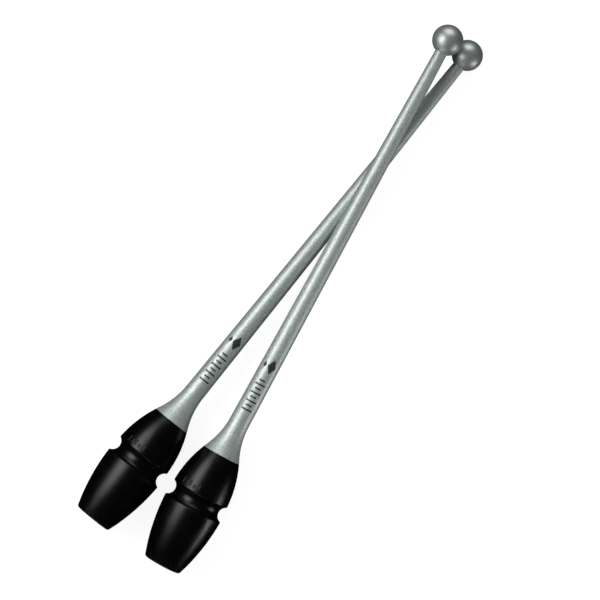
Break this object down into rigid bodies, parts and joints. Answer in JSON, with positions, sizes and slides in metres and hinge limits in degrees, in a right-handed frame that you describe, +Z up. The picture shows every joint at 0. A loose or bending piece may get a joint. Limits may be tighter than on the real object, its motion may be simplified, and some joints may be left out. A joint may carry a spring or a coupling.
{
  "type": "gymnastics clubs",
  "caption": "Gymnastics clubs laid crossed, each with a ball head, slim tapering neck, grooved rubber body and a link socket in its base, for swinging, throwing and catching.",
  "frame": {"origin": "on the surface that the clubs lie on, under the middle of the pair's bounding box", "axes": "+X from the bases to the heads, along the line midway between the two clubs; +Y to the left of that; +Z up, out of the surface"},
  "size_m": [0.4544, 0.0998, 0.0461],
  "materials": {
    "head_rubber": "satin",
    "silver_neck": "satin",
    "black_rubber": "satin",
    "core_plastic": "matte",
    "steel": "satin",
    "brass": "satin"
  },
  "bodies": {
    "rear_club": {"rear_head": "head_rubber", "rear_head_stud": "core_plastic", "rear_neck": "silver_neck", "rear_body": "black_rubber", "rear_hub": "core_plastic", "rear_hub_cap": "core_plastic", "rear_balance_weight": "steel", "rear_spigot_insert": "brass", "rear_washer": "steel", "rear_retaining_screw": "steel"},
    "front_club": {"front_head": "head_rubber", "front_head_stud": "core_plastic", "front_neck": "silver_neck", "front_body": "black_rubber", "front_hub": "core_plastic", "front_hub_cap": "core_plastic", "front_balance_weight": "steel", "front_spigot_insert": "brass", "front_washer": "steel", "front_retaining_screw": "steel"}
  },
  "joints": [
    {"name": "front_club_lift", "type": "slide", "parent": "rear_club", "child": "front_club", "axis": [0, 0, 1], "range_m": [0, 0.12]}
  ]
}
